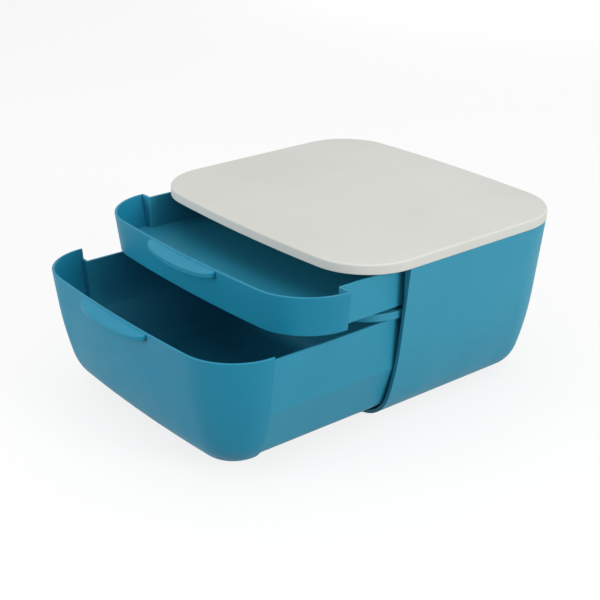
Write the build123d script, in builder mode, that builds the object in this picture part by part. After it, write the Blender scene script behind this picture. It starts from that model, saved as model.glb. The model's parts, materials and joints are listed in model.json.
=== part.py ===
"""Low desk cabinet with two drawers, modelled with both drawers partly open.

Frame: +X right, -Y front, +Z up. The origin is on the desk, under the middle of the lid.
Depths are measured down from the top of the lid.
"""

from build123d import *
import os
from math import asin, atan, cos, radians, sin, sqrt, tan

os.makedirs("parts", exist_ok=True)

# ---------------------------------------------------------------- driving dimensions (mm)
# Plan of the lid: straight sides, slightly bowed front and back, large corners.
lid_width = 367.0
lid_depth = 316.0
lid_corner_radius = 67.0
bow_radius = 1773.0
lid_thickness = 11.0
lid_plate = 3.0
lid_skirt = 5.0
lid_edge_round = 2.2

# Height and the bowl profile of the wall below the lid.
cabinet_height = 200.0
foot_stand = 2.0
lid_overhang = 0.4
wall_angle = 7.2
straight_end_depth = 95.0
belly_radius = 360.0
base_radius = 48.5
section_spacing = 9.0
front_inset_share = 0.85
back_inset_share = 0.63
corner_inset_share = 0.82

# Housing.
housing_wall = 2.6
opening_y = -86.0
frame_width = 4.2
frame_thickness = 2.5
frame_opening_margin = 9.0
apron_side_margin = 59.5
apron_front_margin = 52.0
apron_corner_radius = 24.0
apron_height = 4.6
apron_taper = 6.0
apron_wall = 2.5
runner_x = 90.0
runner_thickness = 3.0
runner_rear_y = 96.0
ledge_thickness = 2.5
ledge_inner_margin = 17.8
ledge_rear_y = 120.0
rear_ledge_margin = 15.0
rear_ledge_half_length = 60.0

# Shelf between the drawers.
shelf_top_depth = 60.3
shelf_plate = 3.0
shelf_lip_bottom_depth = 68.3
shelf_lip = 2.5
shelf_side_margin = 14.9
shelf_corner_radius = 51.0
shelf_front_margin = 17.0
shelf_rear_margin = 10.0
shelf_lip_rear_y = -80.0
shelf_edge_round = 0.8
shelf_runner_x = 90.0
shelf_runner_front_y = -130.0
shelf_runner_rear_y = 130.0

# Drawer fronts.
front_wall = 2.5
rim_round = 0.8
upper_rim_depth = 14.5
upper_skirt_depth = 56.3
lower_rim_depth = 58.6
lower_base_margin = 7.4
grip_half_width = 58.0
grip_reach = 14.5
grip_top_drop = 0.9
grip_slope = 4.4
grip_lip = 5.2
grip_end_rise = 3.0
grip_wall = 2.2
grip_round = 1.0

# Drawer trays.
tray_wall = 2.5
upper_tray_side_margin = 15.5
upper_tray_bottom_depth = 56.0
upper_floor_depth = 53.5
upper_tray_draft = 1.5
upper_tray_rear_margin = 19.0
upper_tray_corner_radius = 40.0
lower_tray_side_margin = 18.9
lower_tray_rim_depth = 69.6
crease_depth = 128.0
crease_margin = 23.0
bevel_angle = 18.5
lower_tray_bottom_margin = 13.5
lower_tray_base_radius = 20.0
lower_tray_rear_margin = 37.0
lower_tray_rear_slope = 6.0
lower_tray_corner_radius = 50.0
flange_thickness = 2.5
corner_round = 2.0

# Drawer travel: how far each one stands open here, and its stop.
upper_opening = 76.0
lower_opening = 163.5
full_travel = 180.0
stop_thickness = 2.5
stop_half_width = 60.0
stop_tab_half_width = 12.0
upper_stop_tab_depth = 11.6
upper_stop_rib_depth = 13.6
lower_stop_tab_depth = 65.0

# Fasteners and feet.
screw_radius = 1.5
screw_head_radius = 2.8
screw_head_height = 1.7
boss_radius = 3.5
lid_boss_radius = 4.4
lid_tab_depth = 14.0
lid_tab_thickness = 3.0
lid_screw_length = 10.0
shelf_screw_length = 9.0
upper_screw_length = 4.2
lower_screw_length = 7.4
shelf_screw_margin = 14.2
shelf_boss_bottom_depth = 72.0
front_tab_half_width = 6.0
front_tab_reach = 12.0
front_tab_thickness = 2.4
upper_screw_margin = 16.0
lower_screw_y = -90.0
lid_rib_depth = 9.0
lid_rib_thickness = 1.6
lid_rib_x = 80.0
lid_rib_y = 45.0
locating_rib_gap = 1.1
locating_rib_thickness = 1.7
locating_rib_depth = 13.5
locating_rib_front_y = -78.0
slot_length = 3.4
slot_width = 0.8
slot_depth = 0.9
lid_front_boss_margin = 8.1
lid_front_boss_y = -68.0
lid_rear_boss_x = 118.0
lid_rear_boss_margin = 13.0
lid_tab_reach = 4.5
shelf_screw_ys = (-55.0, 95.0)
upper_screw_xs = (-120.0, -42.0, 42.0, 120.0)
lower_screw_xs = (-84.0, -30.0, 30.0, 84.0)
foot_radius = 8.0
foot_recess = 0.8
foot_x = 92.0
foot_front_y = -82.0
foot_rear_y = 92.0
foot_edge_round = 0.6

# Clearances.
running_gap = 0.4
seam_gap = 0.3
fit_gap = 0.2
thread_gap = 0.05
reach = 500.0

# ---------------------------------------------------------------- worked out from them
half_width = lid_width / 2
half_depth = lid_depth / 2
floor_depth = cabinet_height - foot_stand
angle = radians(wall_angle)
locating_rib_inset = housing_wall + locating_rib_gap
frame_opening_half_width = half_width - frame_opening_margin
apron_half_width = half_width - apron_side_margin
apron_front = half_depth - apron_front_margin
apron_top_depth = floor_depth - apron_height
ledge_inner_x = half_width - ledge_inner_margin
rear_ledge_y = half_depth - rear_ledge_margin
shelf_half_width = half_width - shelf_side_margin
shelf_front = half_depth - shelf_front_margin
shelf_rear_y = half_depth - shelf_rear_margin
lower_base_depth = floor_depth - lower_base_margin
upper_tray_half_width = half_width - upper_tray_side_margin
upper_tray_rear_y = half_depth - upper_tray_rear_margin
lower_tray_half_width = half_width - lower_tray_side_margin
lower_tray_rear_y = half_depth - lower_tray_rear_margin
lower_tray_bottom_depth = floor_depth - lower_tray_bottom_margin
crease_half_width = half_width - crease_margin
shelf_screw_x = half_width - shelf_screw_margin
upper_screw_y = upper_screw_margin - half_depth
lid_front_boss_x = half_width - lid_front_boss_margin
lid_rear_boss_y = half_depth - lid_rear_boss_margin


def height(depth):
    """Height above the desk of a depth below the lid's top."""
    return cabinet_height - depth


def straight_inset(depth):
    """How far the straight part of the side wall stands in from the lid's edge."""
    return lid_overhang + (depth - lid_thickness) * tan(angle)


def plan(z, inset, offset_in=0.0):
    """The cabinet's plan at height z, drawn in by the wall's inset and then evenly by offset_in."""
    side = half_width - inset - offset_in
    front = half_depth - front_inset_share * inset - offset_in
    back = half_depth - back_inset_share * inset - offset_in
    radius = lid_corner_radius - corner_inset_share * inset - offset_in
    return rounded_plan(z, side, front, back, radius)


def rounded_plan(z, side, front, back, radius):
    """A face with straight sides, bowed ends and tangent corner arcs."""
    drop = sqrt((bow_radius - radius) ** 2 - (side - radius) ** 2)
    front_centre = bow_radius - front
    back_centre = back - bow_radius
    corner_front = front_centre - drop
    corner_back = back_centre + drop
    lean = asin((side - radius) / (bow_radius - radius))
    half_turn = (radians(90) + lean) / 2
    touch_x = bow_radius * sin(lean)
    touch_drop = bow_radius * cos(lean)
    mid_x = side - radius + radius * sin(half_turn)
    mid_drop = radius * cos(half_turn)
    with BuildSketch(Plane.XY.offset(z)) as outline:
        with BuildLine():
            left_touch = (-touch_x, front_centre - touch_drop)
            right_touch = (touch_x, front_centre - touch_drop)
            ThreePointArc(left_touch, (0, -front), right_touch)
            ThreePointArc(right_touch, (mid_x, corner_front - mid_drop), (side, corner_front))
            Line((side, corner_front), (side, corner_back))
            back_right = (touch_x, back_centre + touch_drop)
            back_left = (-touch_x, back_centre + touch_drop)
            ThreePointArc((side, corner_back), (mid_x, corner_back + mid_drop), back_right)
            ThreePointArc(back_right, (0, back), back_left)
            ThreePointArc(back_left, (-mid_x, corner_back + mid_drop), (-side, corner_back))
            Line((-side, corner_back), (-side, corner_front))
            ThreePointArc((-side, corner_front), (-mid_x, corner_front - mid_drop), left_touch)
        make_face()
    return outline.sketch


def bowl(base_depth, top_depth, offset_in=0.0):
    """Solid bowl: straight wall, wide belly arc and base arc down to a flat base at base_depth.

    offset_in moves the whole surface inwards along its normal.
    """
    belly_centre_depth = straight_end_depth - belly_radius * sin(angle)
    belly_centre_inset = straight_inset(straight_end_depth) + belly_radius * cos(angle)
    centre_distance = belly_radius - base_radius
    base_centre_depth = base_depth - base_radius
    join = asin((base_centre_depth - belly_centre_depth) / centre_distance)
    base_centre_inset = belly_centre_inset - centre_distance * cos(join)
    straight_bottom = straight_end_depth - offset_in * sin(angle)
    sections = []
    straight_steps = round((straight_bottom - top_depth) / section_spacing)
    for step in range(straight_steps):
        depth = top_depth + (straight_bottom - top_depth) * step / straight_steps
        sections.append(plan(height(depth), straight_inset(depth), offset_in / cos(angle)))
    belly_steps = 5
    for step in range(belly_steps):
        turn = angle + (join - angle) * step / belly_steps
        depth = belly_centre_depth + (belly_radius - offset_in) * sin(turn)
        inset = belly_centre_inset - belly_radius * cos(turn)
        sections.append(plan(height(depth), inset, offset_in * cos(turn)))
    base_steps = 6
    for step in range(base_steps + 1):
        turn = join + (radians(90) - join) * step / base_steps
        depth = base_centre_depth + (base_radius - offset_in) * sin(turn)
        inset = base_centre_inset - base_radius * cos(turn)
        sections.append(plan(height(depth), inset, offset_in * cos(turn)))
    with BuildPart() as body:
        loft(sections=sections)
    return body.part


def band(top_depth, bottom_depth, offset_in=0.0):
    """Solid of the straight, tapered part of the wall between two depths."""
    slant = offset_in / cos(angle)
    top = plan(height(top_depth), straight_inset(top_depth), slant)
    bottom = plan(height(bottom_depth), straight_inset(bottom_depth), slant)
    with BuildPart() as body:
        loft(sections=[bottom, top], ruled=True)
    return body.part


def block(x_range, y_range, z_range):
    """Plain block between two corners."""
    with BuildPart() as body:
        with BuildSketch(Plane.XY.offset(z_range[0])):
            with Locations(((x_range[0] + x_range[1]) / 2, (y_range[0] + y_range[1]) / 2)):
                Rectangle(x_range[1] - x_range[0], y_range[1] - y_range[0])
        extrude(amount=z_range[1] - z_range[0])
    return body.part


def front_surface(depth):
    """Distance of the front's outer surface from the middle of the lid, on the centre line."""
    return half_depth - front_inset_share * straight_inset(depth)


def tray_plan(depth, side, rear, radius, front_y):
    """Plan of a tray at one depth: open-ended towards the front, with rounded rear corners."""
    mid = radius * (1 - sqrt(1 / 2))
    with BuildSketch(Plane.XY.offset(height(depth))) as outline:
        with BuildLine():
            Line((-side, front_y), (side, front_y))
            Line((side, front_y), (side, rear - radius))
            ThreePointArc((side, rear - radius), (side - mid, rear - mid), (side - radius, rear))
            Line((side - radius, rear), (radius - side, rear))
            ThreePointArc((radius - side, rear), (mid - side, rear - mid), (-side, rear - radius))
            Line((-side, rear - radius), (-side, front_y))
        make_face()
    return outline.sketch


def upper_trough(top_depth, bottom_depth, front_y, offset_in=0.0):
    """Solid trough of the upper tray between two depths."""
    lean = tan(radians(upper_tray_draft))
    sections = []
    for depth in (bottom_depth, top_depth):
        inset = (depth - upper_rim_depth) * lean + offset_in
        side = upper_tray_half_width - inset
        rear = upper_tray_rear_y - inset
        sections.append(tray_plan(depth, side, rear, upper_tray_corner_radius - offset_in, front_y))
    with BuildPart() as body:
        loft(sections=sections, ruled=True)
    return body.part


def lower_trough(top_depth, front_y, offset_in=0.0):
    """Solid trough of the lower tray: upright side, bevel below the crease, rounded base."""
    side_lean = atan((lower_tray_half_width - crease_half_width) / (crease_depth - lower_tray_rim_depth))
    bevel = radians(bevel_angle)
    rear_lean = radians(lower_tray_rear_slope)
    crease_rise = offset_in * (1 / cos(bevel) - 1 / cos(side_lean)) / (tan(bevel) - tan(side_lean))
    meet_depth = crease_depth - crease_rise
    bottom_depth = lower_tray_bottom_depth - offset_in
    base_round = lower_tray_base_radius - offset_in
    side_drop = offset_in / cos(side_lean)
    rear_drop = offset_in / cos(rear_lean)
    top_x = lower_tray_half_width - (top_depth - lower_tray_rim_depth) * tan(side_lean) - side_drop
    meet_x = lower_tray_half_width - (meet_depth - lower_tray_rim_depth) * tan(side_lean) - side_drop
    corner_x = meet_x - (bottom_depth - meet_depth) * tan(bevel)
    rear_top = lower_tray_rear_y - (top_depth - lower_tray_rim_depth) * tan(rear_lean) - rear_drop
    rear_bottom = rear_top - (bottom_depth - top_depth) * tan(rear_lean)
    with BuildPart() as body:
        with BuildSketch(Plane.XZ.offset(-rear_top)) as section:
            with BuildLine():
                Polyline(
                    (-top_x, height(top_depth)),
                    (top_x, height(top_depth)),
                    (meet_x, height(meet_depth)),
                    (corner_x, height(bottom_depth)),
                    (-corner_x, height(bottom_depth)),
                    (-meet_x, height(meet_depth)),
                    close=True,
                )
            make_face()
            fillet(section.vertices().group_by(Axis.Y)[0], radius=base_round)
        extrude(amount=rear_top - front_y)
        with BuildSketch(Plane.YZ) as rear_profile:
            with BuildLine():
                Polyline(
                    (front_y, height(top_depth)),
                    (rear_top, height(top_depth)),
                    (rear_bottom, height(bottom_depth)),
                    (front_y, height(bottom_depth)),
                    close=True,
                )
            make_face()
            fillet(rear_profile.vertices().group_by(Axis.Y)[0].sort_by(Axis.X)[-1], radius=base_round)
        extrude(amount=half_width, both=True, mode=Mode.INTERSECT)
        corner = lower_tray_corner_radius - offset_in
        outline = tray_plan(bottom_depth, top_x, rear_top, corner, front_y)
        extrude(outline, amount=cabinet_height, mode=Mode.INTERSECT)
    return body.part


def grip(rim_depth):
    """Pull ledge below a front's rim: half an ellipse in plan, hollow underneath for the fingers."""
    surface = front_surface(rim_depth)
    root_y = front_wall - surface

    def ledge(inset):
        wall_depth = rim_depth + grip_top_drop + inset
        lip_depth = wall_depth + grip_slope
        bottom_depth = rim_depth + grip_top_drop + grip_slope + grip_lip
        with BuildPart() as body:
            with BuildSketch(Plane.YZ):
                with BuildLine():
                    lip_y = -surface - grip_reach
                    Polyline(
                        (root_y, height(wall_depth)),
                        (lip_y, height(lip_depth)),
                        (lip_y, height(bottom_depth)),
                        (root_y, height(bottom_depth)),
                        close=True,
                    )
                make_face()
            extrude(amount=grip_half_width, both=True)
            with BuildSketch(Plane.XY) as oval:
                with Locations((0, -surface)):
                    Ellipse(grip_half_width - inset, grip_reach - inset)
            extrude(amount=cabinet_height, mode=Mode.INTERSECT)
        return body

    lip_bottom = height(rim_depth + grip_top_drop + grip_slope + grip_lip)
    with BuildPart() as visor:
        add(ledge(0).part)
        with BuildSketch(Plane.XZ):
            with BuildLine():
                left_end = (-grip_half_width, lip_bottom + grip_end_rise)
                right_end = (grip_half_width, lip_bottom + grip_end_rise)
                ThreePointArc(left_end, (0, lip_bottom), right_end)
                Line(right_end, (grip_half_width, cabinet_height))
                Line((grip_half_width, cabinet_height), (-grip_half_width, cabinet_height))
                Line((-grip_half_width, cabinet_height), left_end)
            make_face()
        extrude(amount=lid_depth, both=True, mode=Mode.INTERSECT)
        lip_face = visor.faces().filter_by(GeomType.PLANE).sort_by(Axis.Z)[-1]
        rim_edges = lip_face.edges().filter_by(GeomType.LINE, reverse=True)
        fillet(rim_edges, radius=grip_round)
        add(ledge(grip_wall).part, mode=Mode.SUBTRACT)
    return visor.part


def screws(points, seat_depth, length, upwards=True):
    """Screws with their heads against a face at seat_depth and their shanks beyond it."""
    way = 1 if upwards else -1
    with BuildPart() as group:
        with BuildSketch(Plane.XY.offset(height(seat_depth))):
            with Locations(*points):
                Circle(screw_radius)
        extrude(amount=way * length)
        with BuildSketch(Plane.XY.offset(height(seat_depth))):
            with Locations(*points):
                Circle(screw_head_radius)
        extrude(amount=-way * screw_head_height)
        with BuildSketch(Plane.XY.offset(height(seat_depth) - way * screw_head_height)):
            with Locations(*points):
                Rectangle(slot_length, slot_width)
                Rectangle(slot_width, slot_length)
        extrude(amount=way * slot_depth, mode=Mode.SUBTRACT)
    return group.part


def holes(points, from_depth, to_depth):
    """Screw holes between two depths, as a solid to be cut away."""
    with BuildPart() as group:
        with BuildSketch(Plane.XY.offset(height(to_depth))):
            with Locations(*points):
                Circle(screw_radius + thread_gap)
        extrude(amount=to_depth - from_depth)
    return group.part


def posts(points, radius, from_depth, to_depth):
    """Round posts between two depths."""
    with BuildPart() as group:
        with BuildSketch(Plane.XY.offset(height(to_depth))):
            with Locations(*points):
                Circle(radius)
        extrude(amount=to_depth - from_depth)
    return group.part


def slab(x_range, y_range, top_depth, bottom_depth):
    """Plain block between two depths."""
    return block(x_range, y_range, (height(bottom_depth), height(top_depth)))


# ---------------------------------------------------------------- shared places
front_rear_y = opening_y - running_gap
flange_front_y = front_rear_y - flange_thickness
everywhere = (-reach, reach)
shelf_bottom_depth = shelf_top_depth + shelf_plate
runner_top_depth = lower_tray_bottom_depth + seam_gap
tab_bottom_depth = lid_tab_depth + lid_tab_thickness
upper_stop_tab_y = upper_tray_rear_y - tray_wall
upper_stop_rib_y = upper_stop_tab_y - full_travel - seam_gap
lower_stop_tab_y = lower_tray_rear_y - tray_wall
lower_stop_rib_y = lower_stop_tab_y - full_travel - seam_gap
upper_tab_bottom_depth = upper_floor_depth + front_tab_thickness
lid_screw_points = [
    (-lid_front_boss_x, lid_front_boss_y),
    (lid_front_boss_x, lid_front_boss_y),
    (-lid_rear_boss_x, lid_rear_boss_y),
    (lid_rear_boss_x, lid_rear_boss_y),
]
shelf_screw_points = [(side * shelf_screw_x, y) for side in (-1, 1) for y in shelf_screw_ys]
upper_screw_points = [(x, upper_screw_y) for x in upper_screw_xs]
lower_screw_points = [(x, lower_screw_y) for x in lower_screw_xs]
foot_points = {
    "foot_front_left": (-foot_x, foot_front_y),
    "foot_front_right": (foot_x, foot_front_y),
    "foot_rear_left": (-foot_x, foot_rear_y),
    "foot_rear_right": (foot_x, foot_rear_y),
}

# ---------------------------------------------------------------- housing
# Everything that stands on the inside of the wall is cut to the middle of the wall first.
with BuildPart() as housing_fittings:
    for side in (-1, 1):
        ledge_x = sorted((side * ledge_inner_x, side * half_width))
        ledge_y = (shelf_lip_rear_y + running_gap, ledge_rear_y)
        add(slab(ledge_x, ledge_y, shelf_bottom_depth, shelf_bottom_depth + ledge_thickness))
        tab_x = sorted((side * (lid_front_boss_x - lid_tab_reach), side * half_width))
        tab_y = (lid_front_boss_y - lid_tab_reach, lid_front_boss_y + lid_tab_reach)
        add(slab(tab_x, tab_y, lid_tab_depth, tab_bottom_depth))
        rear_x = (side * lid_rear_boss_x - lid_tab_reach, side * lid_rear_boss_x + lid_tab_reach)
        rear_y = (lid_rear_boss_y - lid_tab_reach, half_depth)
        add(slab(rear_x, rear_y, lid_tab_depth, tab_bottom_depth))
        runner_span = (side * runner_x - runner_thickness / 2, side * runner_x + runner_thickness / 2)
        add(slab(runner_span, (opening_y, runner_rear_y), runner_top_depth, floor_depth))
    rear_span = (-rear_ledge_half_length, rear_ledge_half_length)
    rear_depths = (shelf_bottom_depth, shelf_bottom_depth + ledge_thickness)
    add(slab(rear_span, (rear_ledge_y, half_depth), *rear_depths))
    add(posts(shelf_screw_points, boss_radius, shelf_bottom_depth, shelf_boss_bottom_depth))
    add(bowl(floor_depth, lid_thickness, housing_wall / 2), mode=Mode.INTERSECT)

with BuildPart() as frame_opening:
    add(bowl(floor_depth, lid_thickness, frame_width))
    opening_span = (-frame_opening_half_width, frame_opening_half_width)
    add(block(opening_span, everywhere, everywhere), mode=Mode.INTERSECT)

with BuildPart() as front_frame:
    add(bowl(floor_depth, lid_thickness))
    add(block(everywhere, (opening_y, opening_y + frame_thickness), everywhere), mode=Mode.INTERSECT)
    add(frame_opening.part, mode=Mode.SUBTRACT)

with BuildPart() as apron:
    foot_side = apron_half_width - apron_taper
    foot_front = apron_front - apron_taper
    foot_radius_low = apron_corner_radius - apron_taper
    wide = rounded_plan(
        height(apron_top_depth), apron_half_width, apron_front, apron_front, apron_corner_radius
    )
    narrow = rounded_plan(height(floor_depth), foot_side, foot_front, foot_front, foot_radius_low)
    loft(sections=[narrow, wide], ruled=True)
    well = rounded_plan(
        height(floor_depth - housing_wall),
        foot_side - apron_wall,
        foot_front - apron_wall,
        foot_front - apron_wall,
        foot_radius_low - apron_wall,
    )
    extrude(well, amount=cabinet_height, mode=Mode.SUBTRACT)
    add(block(everywhere, (-reach, opening_y + frame_thickness), everywhere), mode=Mode.INTERSECT)

with BuildPart() as housing:
    add(bowl(floor_depth, lid_thickness))
    add(bowl(floor_depth, lid_thickness, housing_wall), mode=Mode.SUBTRACT)
    add(block(everywhere, (-reach, opening_y), everywhere), mode=Mode.SUBTRACT)
    add(front_frame.part)
    add(apron.part)
    add(housing_fittings.part)
    add(holes(lid_screw_points, lid_tab_depth, tab_bottom_depth), mode=Mode.SUBTRACT)
    shelf_hole_bottom = shelf_top_depth + shelf_screw_length + fit_gap
    add(holes(shelf_screw_points, shelf_bottom_depth, shelf_hole_bottom), mode=Mode.SUBTRACT)
    add(
        posts(foot_points.values(), foot_radius + fit_gap, floor_depth - foot_recess, floor_depth),
        mode=Mode.SUBTRACT,
    )

# ---------------------------------------------------------------- feet
feet = []
for name, point in foot_points.items():
    with BuildPart() as foot:
        with BuildSketch(Plane.XY):
            with Locations(point):
                Circle(foot_radius)
        extrude(amount=foot_stand + foot_recess)
        fillet(foot.faces().sort_by(Axis.Z)[0].edges(), radius=foot_edge_round)
    foot.part.label = name
    feet.append(foot)

# ---------------------------------------------------------------- top lid
with BuildPart() as lid_hollow:
    hollow = plan(height(lid_thickness), 0, lid_skirt)
    loft(sections=[hollow, plan(height(lid_plate), 0, lid_skirt)], ruled=True)

with BuildPart() as locating_rib:
    rib_low = height(locating_rib_depth)
    rib_high = height(lid_plate)
    outer_low = plan(rib_low, 0, locating_rib_inset)
    outer_high = plan(rib_high, 0, locating_rib_inset)
    loft(sections=[outer_low, outer_high], ruled=True)
    inner_inset = locating_rib_inset + locating_rib_thickness
    inner_low = plan(rib_low, 0, inner_inset)
    inner_high = plan(rib_high, 0, inner_inset)
    loft(sections=[inner_low, inner_high], ruled=True, mode=Mode.SUBTRACT)
    add(block(everywhere, (-reach, locating_rib_front_y), everywhere), mode=Mode.SUBTRACT)

with BuildPart() as lid_ribs:
    rib = lid_rib_thickness / 2
    for x in (-lid_rib_x, 0, lid_rib_x):
        add(slab((x - rib, x + rib), (-half_depth, half_depth), lid_plate, lid_rib_depth))
    for y in (-lid_rib_y, lid_rib_y):
        add(slab((-half_width, half_width), (y - rib, y + rib), lid_plate, lid_rib_depth))
    add(lid_hollow.part, mode=Mode.INTERSECT)
    stop_span = (-stop_half_width, stop_half_width)
    stop_y = (upper_stop_rib_y - stop_thickness, upper_stop_rib_y)
    add(slab(stop_span, stop_y, lid_plate, upper_stop_rib_depth))

with BuildPart() as top_lid:
    loft(sections=[plan(height(lid_thickness), 0), plan(height(0), 0)], ruled=True)
    fillet(top_lid.faces().sort_by(Axis.Z)[-1].edges(), radius=lid_edge_round)
    fillet(top_lid.faces().sort_by(Axis.Z)[0].edges(), radius=rim_round)
    add(lid_hollow.part, mode=Mode.SUBTRACT)
    add(lid_ribs.part)
    add(locating_rib.part)
    add(posts(lid_screw_points, lid_boss_radius, lid_plate, lid_tab_depth))
    lid_hole_top = tab_bottom_depth - lid_screw_length - fit_gap
    add(holes(lid_screw_points, lid_hole_top, lid_tab_depth), mode=Mode.SUBTRACT)

# ---------------------------------------------------------------- shelf
with BuildPart() as shelf_forward:
    forward_shape = (shelf_half_width, shelf_front, shelf_front, shelf_corner_radius)
    low = rounded_plan(height(shelf_lip_bottom_depth), *forward_shape)
    high = rounded_plan(height(shelf_top_depth), *forward_shape)
    loft(sections=[low, high], ruled=True)
    fillet(shelf_forward.faces().sort_by(Axis.Z)[-1].edges(), radius=shelf_edge_round)
    under_shape = [value - shelf_lip for value in forward_shape]
    under_low = rounded_plan(height(shelf_lip_bottom_depth), *under_shape)
    under_high = rounded_plan(height(shelf_bottom_depth), *under_shape)
    loft(sections=[under_low, under_high], ruled=True, mode=Mode.SUBTRACT)
    add(block(everywhere, (shelf_lip_rear_y, reach), everywhere), mode=Mode.SUBTRACT)

with BuildPart() as shelf:
    add(band(shelf_top_depth, shelf_bottom_depth, housing_wall + running_gap))
    behind_frame = opening_y + frame_thickness + running_gap
    add(block(everywhere, (behind_frame, shelf_rear_y), everywhere), mode=Mode.INTERSECT)
    add(shelf_forward.part)
    shelf_stop_span = (-stop_half_width, stop_half_width)
    shelf_stop_y = (lower_stop_rib_y - stop_thickness, lower_stop_rib_y)
    add(slab(shelf_stop_span, shelf_stop_y, shelf_bottom_depth, shelf_lip_bottom_depth))
    for side in (-1, 1):
        runner_middle = side * shelf_runner_x
        runner_span = (runner_middle - runner_thickness / 2, runner_middle + runner_thickness / 2)
        runner_y = (shelf_runner_front_y, shelf_runner_rear_y)
        add(slab(runner_span, runner_y, upper_floor_depth + seam_gap, shelf_bottom_depth))
    add(holes(shelf_screw_points, shelf_top_depth, shelf_bottom_depth), mode=Mode.SUBTRACT)

# ---------------------------------------------------------------- upper drawer, closed
with BuildPart() as upper_front_closed:
    add(band(upper_rim_depth, upper_skirt_depth))
    add(
        band(upper_rim_depth - rim_round, upper_skirt_depth + rim_round, front_wall),
        mode=Mode.SUBTRACT,
    )
    add(block(everywhere, (front_rear_y, reach), everywhere), mode=Mode.SUBTRACT)
    fillet(upper_front_closed.faces().sort_by(Axis.Z)[-1].edges(), radius=rim_round)
    with BuildPart(mode=Mode.PRIVATE) as upper_grip:
        add(grip(upper_rim_depth))
        add(band(upper_rim_depth, upper_skirt_depth, front_wall / 2), mode=Mode.SUBTRACT)
    add(upper_grip.part)
    with BuildPart(mode=Mode.PRIVATE) as upper_tabs:
        for x in upper_screw_xs:
            tab_span = (x - front_tab_half_width, x + front_tab_half_width)
            tab_rear_y = upper_screw_y + front_tab_reach / 2
            add(slab(tab_span, (-half_depth, tab_rear_y), upper_floor_depth, upper_tab_bottom_depth))
        add(band(upper_rim_depth, upper_skirt_depth, front_wall / 2), mode=Mode.INTERSECT)
    add(upper_tabs.part)
    add(holes(upper_screw_points, upper_floor_depth, upper_tab_bottom_depth), mode=Mode.SUBTRACT)

with BuildPart() as upper_tray_closed:
    add(upper_trough(upper_rim_depth, upper_tray_bottom_depth, flange_front_y))
    with BuildPart(mode=Mode.PRIVATE) as upper_flange:
        add(band(upper_rim_depth, upper_floor_depth, front_wall + seam_gap))
        add(block(everywhere, (flange_front_y, front_rear_y), everywhere), mode=Mode.INTERSECT)
    add(upper_flange.part)
    upper_floor_top = upper_floor_depth - tray_wall
    with BuildPart(mode=Mode.PRIVATE) as upper_forward_floor:
        add(band(upper_floor_top, upper_floor_depth, front_wall + seam_gap))
        add(block(everywhere, (-reach, front_rear_y), everywhere), mode=Mode.INTERSECT)
    add(upper_forward_floor.part)
    add(
        upper_trough(upper_rim_depth - rim_round, upper_floor_top, -reach, tray_wall),
        mode=Mode.SUBTRACT,
    )
    upper_corners = [
        edge
        for edge in upper_tray_closed.edges().filter_by_position(
            Axis.Y, flange_front_y - thread_gap, flange_front_y + thread_gap
        )
        if edge.bounding_box().size.Z > upper_skirt_depth / 2
        and abs(edge.center().X) < upper_tray_half_width - tray_wall / 2
    ]
    fillet(upper_corners, radius=corner_round)
    under_half_width = upper_tray_half_width - 2 * tray_wall
    under_span = (-under_half_width, under_half_width)
    add(
        slab(under_span, everywhere, upper_floor_depth, upper_tray_bottom_depth),
        mode=Mode.SUBTRACT,
    )
    tab_span = (-stop_tab_half_width, stop_tab_half_width)
    tab_y = (upper_stop_tab_y, upper_tray_rear_y)
    add(slab(tab_span, tab_y, upper_stop_tab_depth, upper_rim_depth + stop_thickness))
    upper_hole_top = upper_tab_bottom_depth - upper_screw_length - thread_gap
    add(holes(upper_screw_points, upper_hole_top, upper_floor_depth), mode=Mode.SUBTRACT)

with BuildPart() as upper_screws_closed:
    add(screws(upper_screw_points, upper_tab_bottom_depth, upper_screw_length))

# ---------------------------------------------------------------- lower drawer, closed
lower_floor_top = lower_tray_bottom_depth - tray_wall
lower_shell_floor = lower_base_depth - front_wall

with BuildPart() as lower_front_closed:
    add(bowl(lower_base_depth, lower_rim_depth))
    add(bowl(lower_base_depth, lower_rim_depth, front_wall), mode=Mode.SUBTRACT)
    add(block(everywhere, (front_rear_y, reach), everywhere), mode=Mode.SUBTRACT)
    lower_rim = lower_front_closed.faces().sort_by(Axis.Z)[-1].edges()
    fillet(lower_rim.filter_by(lambda edge: edge.center().Y < flange_front_y), radius=rim_round)
    with BuildPart(mode=Mode.PRIVATE) as lower_grip:
        add(grip(lower_rim_depth))
        add(band(lower_rim_depth, straight_end_depth, front_wall / 2), mode=Mode.SUBTRACT)
    add(lower_grip.part)
    add(holes(lower_screw_points, lower_shell_floor, lower_base_depth), mode=Mode.SUBTRACT)

with BuildPart() as lower_inside:
    add(bowl(lower_base_depth, lower_tray_rim_depth, front_wall + seam_gap))
    add(
        slab(everywhere, (-reach, front_rear_y), lower_tray_rim_depth, lower_tray_bottom_depth),
        mode=Mode.INTERSECT,
    )

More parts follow.
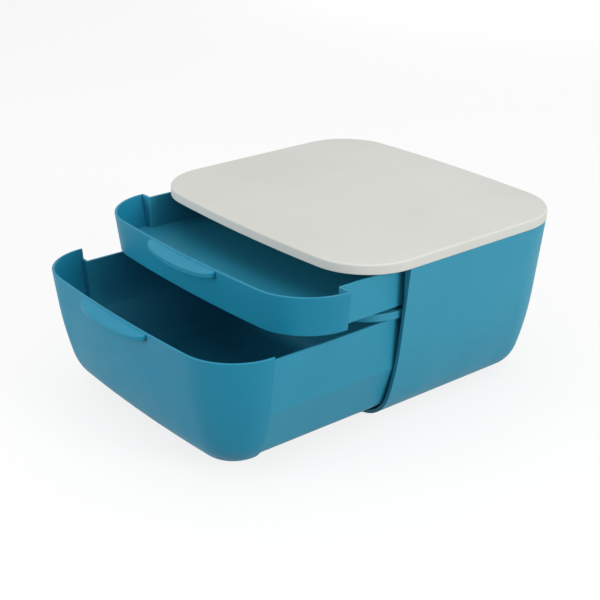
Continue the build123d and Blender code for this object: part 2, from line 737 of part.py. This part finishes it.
with BuildPart() as lower_tray_closed:
    add(lower_trough(lower_tray_rim_depth, front_rear_y))
    with BuildPart(mode=Mode.PRIVATE) as lower_flange:
        add(lower_inside.part)
        add(block(everywhere, (flange_front_y, reach), everywhere), mode=Mode.INTERSECT)
    add(lower_flange.part)
    with BuildPart(mode=Mode.PRIVATE) as lower_forward_floor:
        add(lower_inside.part)
        add(slab(everywhere, everywhere, lower_floor_top, lower_tray_bottom_depth), mode=Mode.INTERSECT)
    add(lower_forward_floor.part)
    add(
        lower_trough(lower_tray_rim_depth, -reach, tray_wall),
        mode=Mode.SUBTRACT,
    )
    add(posts(lower_screw_points, boss_radius, lower_tray_bottom_depth, lower_shell_floor))
    lower_tab_span = (-stop_tab_half_width, stop_tab_half_width)
    lower_tab_y = (lower_stop_tab_y, lower_tray_rear_y)
    lower_tab_foot = lower_tray_rim_depth + stop_thickness
    add(slab(lower_tab_span, lower_tab_y, lower_stop_tab_depth, lower_tab_foot))
    lower_hole_top = lower_base_depth - lower_screw_length - thread_gap
    add(holes(lower_screw_points, lower_hole_top, lower_shell_floor), mode=Mode.SUBTRACT)

with BuildPart() as lower_screws_closed:
    add(screws(lower_screw_points, lower_base_depth, lower_screw_length))

# ---------------------------------------------------------------- screws of the cabinet
with BuildPart() as lid_screws:
    add(screws(lid_screw_points, tab_bottom_depth, lid_screw_length))

with BuildPart() as shelf_screws:
    add(screws(shelf_screw_points, shelf_top_depth, shelf_screw_length, upwards=False))

# ---------------------------------------------------------------- drawers as they stand open
with BuildPart() as upper_front:
    with Locations((0, -upper_opening, 0)):
        add(upper_front_closed.part)

with BuildPart() as upper_tray:
    with Locations((0, -upper_opening, 0)):
        add(upper_tray_closed.part)

with BuildPart() as upper_front_screws:
    with Locations((0, -upper_opening, 0)):
        add(upper_screws_closed.part)

with BuildPart() as lower_front:
    with Locations((0, -lower_opening, 0)):
        add(lower_front_closed.part)

with BuildPart() as lower_tray:
    with Locations((0, -lower_opening, 0)):
        add(lower_tray_closed.part)

with BuildPart() as lower_front_screws:
    with Locations((0, -lower_opening, 0)):
        add(lower_screws_closed.part)

# ---------------------------------------------------------------- files
housing.part.label = "housing"
top_lid.part.label = "top_lid"
shelf.part.label = "shelf"
lid_screws.part.label = "lid_screws"
shelf_screws.part.label = "shelf_screws"
upper_front.part.label = "upper_front"
upper_tray.part.label = "upper_tray"
upper_front_screws.part.label = "upper_front_screws"
lower_front.part.label = "lower_front"
lower_tray.part.label = "lower_tray"
lower_front_screws.part.label = "lower_front_screws"

export_step(housing.part, "parts/housing.step")
export_step(top_lid.part, "parts/top_lid.step")
export_step(shelf.part, "parts/shelf.step")
export_step(lid_screws.part, "parts/lid_screws.step")
export_step(shelf_screws.part, "parts/shelf_screws.step")
export_step(upper_front.part, "parts/upper_front.step")
export_step(upper_tray.part, "parts/upper_tray.step")
export_step(upper_front_screws.part, "parts/upper_front_screws.step")
export_step(lower_front.part, "parts/lower_front.step")
export_step(lower_tray.part, "parts/lower_tray.step")
export_step(lower_front_screws.part, "parts/lower_front_screws.step")
for foot in feet:
    export_step(foot.part, "parts/" + foot.part.label + ".step")
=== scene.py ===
"""Looks of the low desk cabinet with two drawers: moulded plastic, screws, rubber feet, light and camera.

Frame: metres, +X right, -Y front, +Z up, origin on the desk under the middle of the lid.
"""

import json
import math

import bpy
from mathutils import Matrix, Vector

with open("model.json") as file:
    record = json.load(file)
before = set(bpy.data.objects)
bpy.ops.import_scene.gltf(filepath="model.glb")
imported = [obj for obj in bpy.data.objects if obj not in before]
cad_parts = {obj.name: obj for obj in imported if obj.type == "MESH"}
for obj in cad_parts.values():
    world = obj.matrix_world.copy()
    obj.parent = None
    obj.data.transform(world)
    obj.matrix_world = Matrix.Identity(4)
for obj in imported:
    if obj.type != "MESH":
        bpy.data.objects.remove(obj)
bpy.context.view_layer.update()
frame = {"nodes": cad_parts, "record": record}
nodes = frame["nodes"]


# ---------------------------------------------------------------- node helpers
def linear(value):
    """Linear light from a screen value of 0 to 255."""
    share = value / 255
    return share / 12.92 if share <= 0.04045 else ((share + 0.055) / 1.055) ** 2.4


def colour(red, green, blue):
    return (linear(red), linear(green), linear(blue), 1.0)


class Tree:
    """Short way to lay out a material's nodes."""

    def __init__(self, name):
        self.material = bpy.data.materials.new(name)
        self.material.use_nodes = True
        self.nodes = self.material.node_tree.nodes
        self.links = self.material.node_tree.links
        self.shader = self.nodes["Principled BSDF"]
        self.output = self.nodes["Material Output"]

    def add(self, kind, **settings):
        node = self.nodes.new(kind)
        for key, value in settings.items():
            setattr(node, key, value)
        return node

    def join(self, source, target):
        self.links.new(source, target)

    def place(self):
        """Object-space position, in metres."""
        return self.add("ShaderNodeTexCoord").outputs["Object"]

    def noise(self, scale, detail=2.0, roughness=0.5, vector=None):
        node = self.add("ShaderNodeTexNoise")
        node.inputs["Scale"].default_value = scale
        node.inputs["Detail"].default_value = detail
        node.inputs["Roughness"].default_value = roughness
        self.join(vector or self.place(), node.inputs["Vector"])
        return node.outputs["Fac"]

    def spread(self, value, low, high, source_low=0.0, source_high=1.0):
        node = self.add("ShaderNodeMapRange")
        node.inputs["From Min"].default_value = source_low
        node.inputs["From Max"].default_value = source_high
        node.inputs["To Min"].default_value = low
        node.inputs["To Max"].default_value = high
        self.join(value, node.inputs["Value"])
        return node.outputs["Result"]

    def mix(self, share, first, second, blend="MIX"):
        node = self.add("ShaderNodeMix", data_type="RGBA", blend_type=blend)
        for index, value in ((6, first), (7, second)):
            if isinstance(value, tuple):
                node.inputs[index].default_value = value
            else:
                self.join(value, node.inputs[index])
        if isinstance(share, float):
            node.inputs[0].default_value = share
        else:
            self.join(share, node.inputs[0])
        return node.outputs[2]

    def math(self, operation, first, second):
        node = self.add("ShaderNodeMath", operation=operation)
        for index, value in enumerate((first, second)):
            if isinstance(value, (int, float)):
                node.inputs[index].default_value = value
            else:
                self.join(value, node.inputs[index])
        return node.outputs[0]

    def bump(self, height, distance, strength=1.0, normal=None):
        node = self.add("ShaderNodeBump")
        node.inputs["Distance"].default_value = distance
        node.inputs["Strength"].default_value = strength
        self.join(height, node.inputs["Height"])
        if normal is not None:
            self.join(normal, node.inputs["Normal"])
        return node.outputs["Normal"]


# ---------------------------------------------------------------- materials
# Noise and cell scales are in repeats per metre, relief heights in metres.
DRIFT_SCALE = 7.0
SMEAR_SCALE = 24.0
# Breakup scale of the painted edge highlight.
EDGE_HIGHLIGHT_BREAKUP_SCALE = 90.0
GRAIN_SCALE = 1900.0
PORE_SCALE = 1500.0
PORE_SHARE = 0.6
SPECKLE_LIGHT = 26
SPECKLE_SHARE = 0.05
# Strength of the painted edge highlight.
EDGE_HIGHLIGHT_SHARE = 0.55
EDGE_RADIUS = 0.0007
PLASTIC_IOR = 1.49
PLASTIC_SPECULAR = 0.35
PLASTIC_GRAIN = 0.000010
LID_GRAIN = 0.000014
ZINC_PATCH_SCALE = 600.0
ZINC_TURNING_SCALE = 2600.0
ZINC_RELIEF = 0.00002
RUBBER_DUST_SCALE = 220.0
RUBBER_PEBBLE_SCALE = 2200.0
RUBBER_RELIEF = 0.00005


def lighter(base, amount):
    """A screen colour raised by an amount in each channel."""
    return colour(*[min(255, value + amount) for value in base])


def moulded_plastic(name, base, shade, gloss, grain, edge_highlight_lift):
    """Injection-moulded plastic: fine spark-eroded grain, faint flow marks, and a painted highlight: lighter
    colour along rounded edges, broken up by noise.
    """
    tree = Tree(name)
    place = tree.place()
    drift = tree.noise(DRIFT_SCALE, 3.0, 0.55, place)
    fine = tree.noise(GRAIN_SCALE, 3.0, 0.6, place)
    pores = tree.add("ShaderNodeTexVoronoi", feature="F1")
    pores.inputs["Scale"].default_value = PORE_SCALE
    tree.join(place, pores.inputs["Vector"])
    body = tree.mix(tree.spread(drift, 0.0, 1.0, 0.35, 0.65), colour(*base), colour(*shade))
    speckle = tree.spread(fine, 0.0, SPECKLE_SHARE, 0.35, 0.7)
    body = tree.mix(speckle, body, lighter(base, SPECKLE_LIGHT))
    bevel = tree.add("ShaderNodeBevel", samples=6)
    bevel.inputs["Radius"].default_value = EDGE_RADIUS
    geometry = tree.add("ShaderNodeNewGeometry")
    turn = tree.add("ShaderNodeVectorMath", operation="DOT_PRODUCT")
    tree.join(bevel.outputs["Normal"], turn.inputs[0])
    tree.join(geometry.outputs["Normal"], turn.inputs[1])
    # Painted highlight: the base colour is lifted along rounded edges, found from the bevel normal and
    # broken up by noise, in place of light catching the edge.
    edge = tree.spread(turn.outputs["Value"], 1.0, 0.0, 0.80, 0.995)
    painted_edge_highlight = tree.math("MULTIPLY", edge, tree.spread(tree.noise(EDGE_HIGHLIGHT_BREAKUP_SCALE, 4.0, 0.6, place), 0.3, 1.0))
    body = tree.mix(tree.math("MULTIPLY", painted_edge_highlight, EDGE_HIGHLIGHT_SHARE), body, lighter(base, edge_highlight_lift))
    tree.join(body, tree.shader.inputs["Base Color"])
    rough = tree.spread(fine, gloss - 0.03, gloss + 0.05, 0.3, 0.7)
    smear = tree.spread(tree.noise(SMEAR_SCALE, 5.0, 0.6, place), -0.03, 0.04, 0.35, 0.65)
    tree.join(tree.math("ADD", rough, smear), tree.shader.inputs["Roughness"])
    relief = tree.math("ADD", fine, tree.math("MULTIPLY", pores.outputs["Distance"], PORE_SHARE))
    normal = tree.bump(relief, grain, 1.0, bevel.outputs["Normal"])
    tree.join(normal, tree.shader.inputs["Normal"])
    tree.shader.inputs["IOR"].default_value = PLASTIC_IOR
    tree.shader.inputs["Specular IOR Level"].default_value = PLASTIC_SPECULAR
    return tree.material


def zinc_plated(name):
    """Zinc-plated steel with turned marks and faint yellowing."""
    tree = Tree(name)
    place = tree.place()
    patch = tree.noise(ZINC_PATCH_SCALE, 4.0, 0.6, place)
    tree.join(
        tree.mix(tree.spread(patch, 0.0, 1.0, 0.3, 0.7), colour(176, 178, 180), colour(150, 148, 138)),
        tree.shader.inputs["Base Color"],
    )
    tree.join(tree.spread(patch, 0.28, 0.5, 0.3, 0.7), tree.shader.inputs["Roughness"])
    tree.shader.inputs["Metallic"].default_value = 1.0
    relief = tree.noise(ZINC_TURNING_SCALE, 3.0, 0.6, place)
    tree.join(tree.bump(relief, ZINC_RELIEF), tree.shader.inputs["Normal"])
    return tree.material


def rubber(name):
    """Matte dark rubber with a fine pebbled skin and dusty patches."""
    tree = Tree(name)
    place = tree.place()
    dust = tree.noise(RUBBER_DUST_SCALE, 5.0, 0.6, place)
    tree.join(
        tree.mix(tree.spread(dust, 0.0, 1.0, 0.45, 0.75), colour(44, 45, 47), colour(74, 74, 73)),
        tree.shader.inputs["Base Color"],
    )
    tree.join(tree.spread(dust, 0.7, 0.9, 0.3, 0.7), tree.shader.inputs["Roughness"])
    relief = tree.noise(RUBBER_PEBBLE_SCALE, 2.0, 0.5, place)
    tree.join(tree.bump(relief, RUBBER_RELIEF), tree.shader.inputs["Normal"])
    return tree.material


materials = {
    # cabinet_blue and tray_blue are lighter, redder copies of the drawer blue: a painted sheen for the pale
    # haze on the lit sides is baked into their base colours. The last number is the lift of the painted edge
    # highlight.
    "cabinet_blue": moulded_plastic("cabinet_blue", (46, 143, 171), (41, 138, 166), 0.50, PLASTIC_GRAIN, 34),
    "lid_grey": moulded_plastic("lid_grey", (208, 209, 203), (204, 205, 199), 0.60, LID_GRAIN, 5),
    "drawer_blue": moulded_plastic("drawer_blue", (22, 133, 164), (17, 128, 159), 0.50, PLASTIC_GRAIN, 40),
    "tray_blue": moulded_plastic("tray_blue", (42, 141, 169), (37, 136, 164), 0.50, PLASTIC_GRAIN, 30),
    "screw_steel": zinc_plated("screw_steel"),
    "foot_rubber": rubber("foot_rubber"),
}
for subpart in frame["record"]["subparts"]:
    piece = nodes[subpart["node"]]
    material = materials[subpart["material_slot"]]
    if not piece.material_slots:
        piece.data.materials.append(material)
    for material_slot in piece.material_slots:
        material_slot.material = material


# ---------------------------------------------------------------- floor and surroundings
FLOOR_REACH = 30.0
FLOOR_SEEN = (0.95, 0.95, 0.95, 1.0)
FLOOR_BOUNCE = (0.28, 0.28, 0.28, 1.0)
FLOOR_GLOW_SHARE = 0.8


def background_rays(nodes, links):
    """1 for rays that show the background: straight from the camera, mirrored, or seen through glass."""
    path = nodes.new("ShaderNodeLightPath")
    mirrored = nodes.new("ShaderNodeMath")
    mirrored.operation = "MAXIMUM"
    links.new(path.outputs["Is Glossy Ray"], mirrored.inputs[0])
    links.new(path.outputs["Is Transmission Ray"], mirrored.inputs[1])
    shown = nodes.new("ShaderNodeMath")
    shown.operation = "MAXIMUM"
    links.new(path.outputs["Is Camera Ray"], shown.inputs[0])
    links.new(mirrored.outputs[0], shown.inputs[1])
    return shown.outputs[0]


def white_stage():
    """Pale floor: near white where it is seen, with the object's shadow, and a dim bounce upwards."""
    mesh = bpy.data.meshes.new("floor")
    corners = [(x * FLOOR_REACH, y * FLOOR_REACH, 0) for x, y in ((-1, -1), (1, -1), (1, 1), (-1, 1))]
    mesh.from_pydata(corners, [], [(0, 1, 2, 3)])
    floor = bpy.data.objects.new("floor", mesh)
    bpy.context.scene.collection.objects.link(floor)
    tree = Tree("floor_white")
    shown = background_rays(tree.nodes, tree.links)
    tree.join(tree.mix(shown, FLOOR_BOUNCE, FLOOR_SEEN), tree.shader.inputs["Base Color"])
    tree.shader.inputs["Roughness"].default_value = 0.9
    tree.shader.inputs["Specular IOR Level"].default_value = 0.1
    plain = tree.add("ShaderNodeEmission")
    plain.inputs["Color"].default_value = (1, 1, 1, 1)
    plain.inputs["Strength"].default_value = 1.0
    choose = tree.add("ShaderNodeMixShader")
    tree.join(tree.math("MULTIPLY", shown, FLOOR_GLOW_SHARE), choose.inputs[0])
    tree.join(tree.shader.outputs[0], choose.inputs[1])
    tree.join(plain.outputs[0], choose.inputs[2])
    tree.join(choose.outputs[0], tree.output.inputs["Surface"])
    mesh.materials.append(tree.material)


def surroundings(strength):
    """White beyond the floor where it is seen or mirrored, soft grey light for everything else."""
    world = bpy.data.worlds.new("studio")
    bpy.context.scene.world = world
    world.use_nodes = True
    tree = world.node_tree
    background = tree.nodes["Background"]
    background.inputs["Color"].default_value = (1, 1, 1, 1)
    background.inputs["Strength"].default_value = strength
    plain = tree.nodes.new("ShaderNodeBackground")
    plain.inputs["Color"].default_value = (1, 1, 1, 1)
    choose = tree.nodes.new("ShaderNodeMixShader")
    tree.links.new(background_rays(tree.nodes, tree.links), choose.inputs[0])
    tree.links.new(background.outputs[0], choose.inputs[1])
    tree.links.new(plain.outputs[0], choose.inputs[2])
    tree.links.new(choose.outputs[0], tree.nodes["World Output"].inputs["Surface"])


def soft_box(name, place, target, size, power):
    """Rectangular area light aimed at a point."""
    light = bpy.data.lights.new(name, "AREA")
    light.shape = "RECTANGLE"
    light.size, light.size_y = size
    light.energy = power
    lamp = bpy.data.objects.new(name, light)
    lamp.location = place
    lamp.rotation_euler = (Vector(target) - Vector(place)).to_track_quat("-Z", "Y").to_euler()
    bpy.context.scene.collection.objects.link(lamp)


WORLD_STRENGTH = 0.5
OBJECT_MIDDLE = (0, -0.1, 0.1)
CABINET_MIDDLE = (0, 0, 0.1)

white_stage()
surroundings(WORLD_STRENGTH)
soft_box("key_right", (2.4, 0.3, 1.0), OBJECT_MIDDLE, (1.0, 1.0), 38)
soft_box("top", (0.1, -0.2, 2.2), OBJECT_MIDDLE, (1.8, 1.8), 11)
soft_box("rear", (-1.6, 2.2, 0.35), CABINET_MIDDLE, (1.2, 0.6), 11)
soft_box("front", (-0.7, -2.3, 0.8), OBJECT_MIDDLE, (1.2, 1.2), 25)


# ---------------------------------------------------------------- camera
# Viewing angle of the photograph. Lengths are in the fit's own unit, of CAMERA_UNIT metres, and the
# camera's aim passes through a point beside and below the middle of the lid.
CAMERA_AZIMUTH = 51.069
CAMERA_ELEVATION = 23.769
CAMERA_DISTANCE = 1390.049
CAMERA_ASIDE = 59.467
CAMERA_BELOW = 117.159
CAMERA_UNIT = 0.00101944
LID_TOP = Vector((0, 0, 0.2))
CAMERA_LENS = 76.262
CAMERA_SENSOR = 36
CAMERA_CLIP_END = 200


def stand_camera():
    """Camera at the photograph's angle, with its depth of field off."""
    azimuth, elevation = math.radians(CAMERA_AZIMUTH), math.radians(CAMERA_ELEVATION)
    back = Vector(
        (
            math.sin(azimuth) * math.cos(elevation),
            -math.cos(azimuth) * math.cos(elevation),
            math.sin(elevation),
        )
    )
    right = Vector((math.cos(azimuth), math.sin(azimuth), 0))
    up = back.cross(right)
    offset = back * CAMERA_DISTANCE - right * CAMERA_ASIDE - up * CAMERA_BELOW
    data = bpy.data.cameras.new("camera")
    data.sensor_width = CAMERA_SENSOR
    data.lens = CAMERA_LENS
    data.clip_end = CAMERA_CLIP_END
    data.dof.use_dof = False
    camera = bpy.data.objects.new("camera", data)
    turn = Matrix((right, up, back)).transposed().to_4x4()
    camera.matrix_world = Matrix.Translation(offset * CAMERA_UNIT + LID_TOP) @ turn
    bpy.context.scene.collection.objects.link(camera)
    bpy.context.scene.camera = camera


stand_camera()
bpy.context.scene.view_settings.view_transform = "Standard"
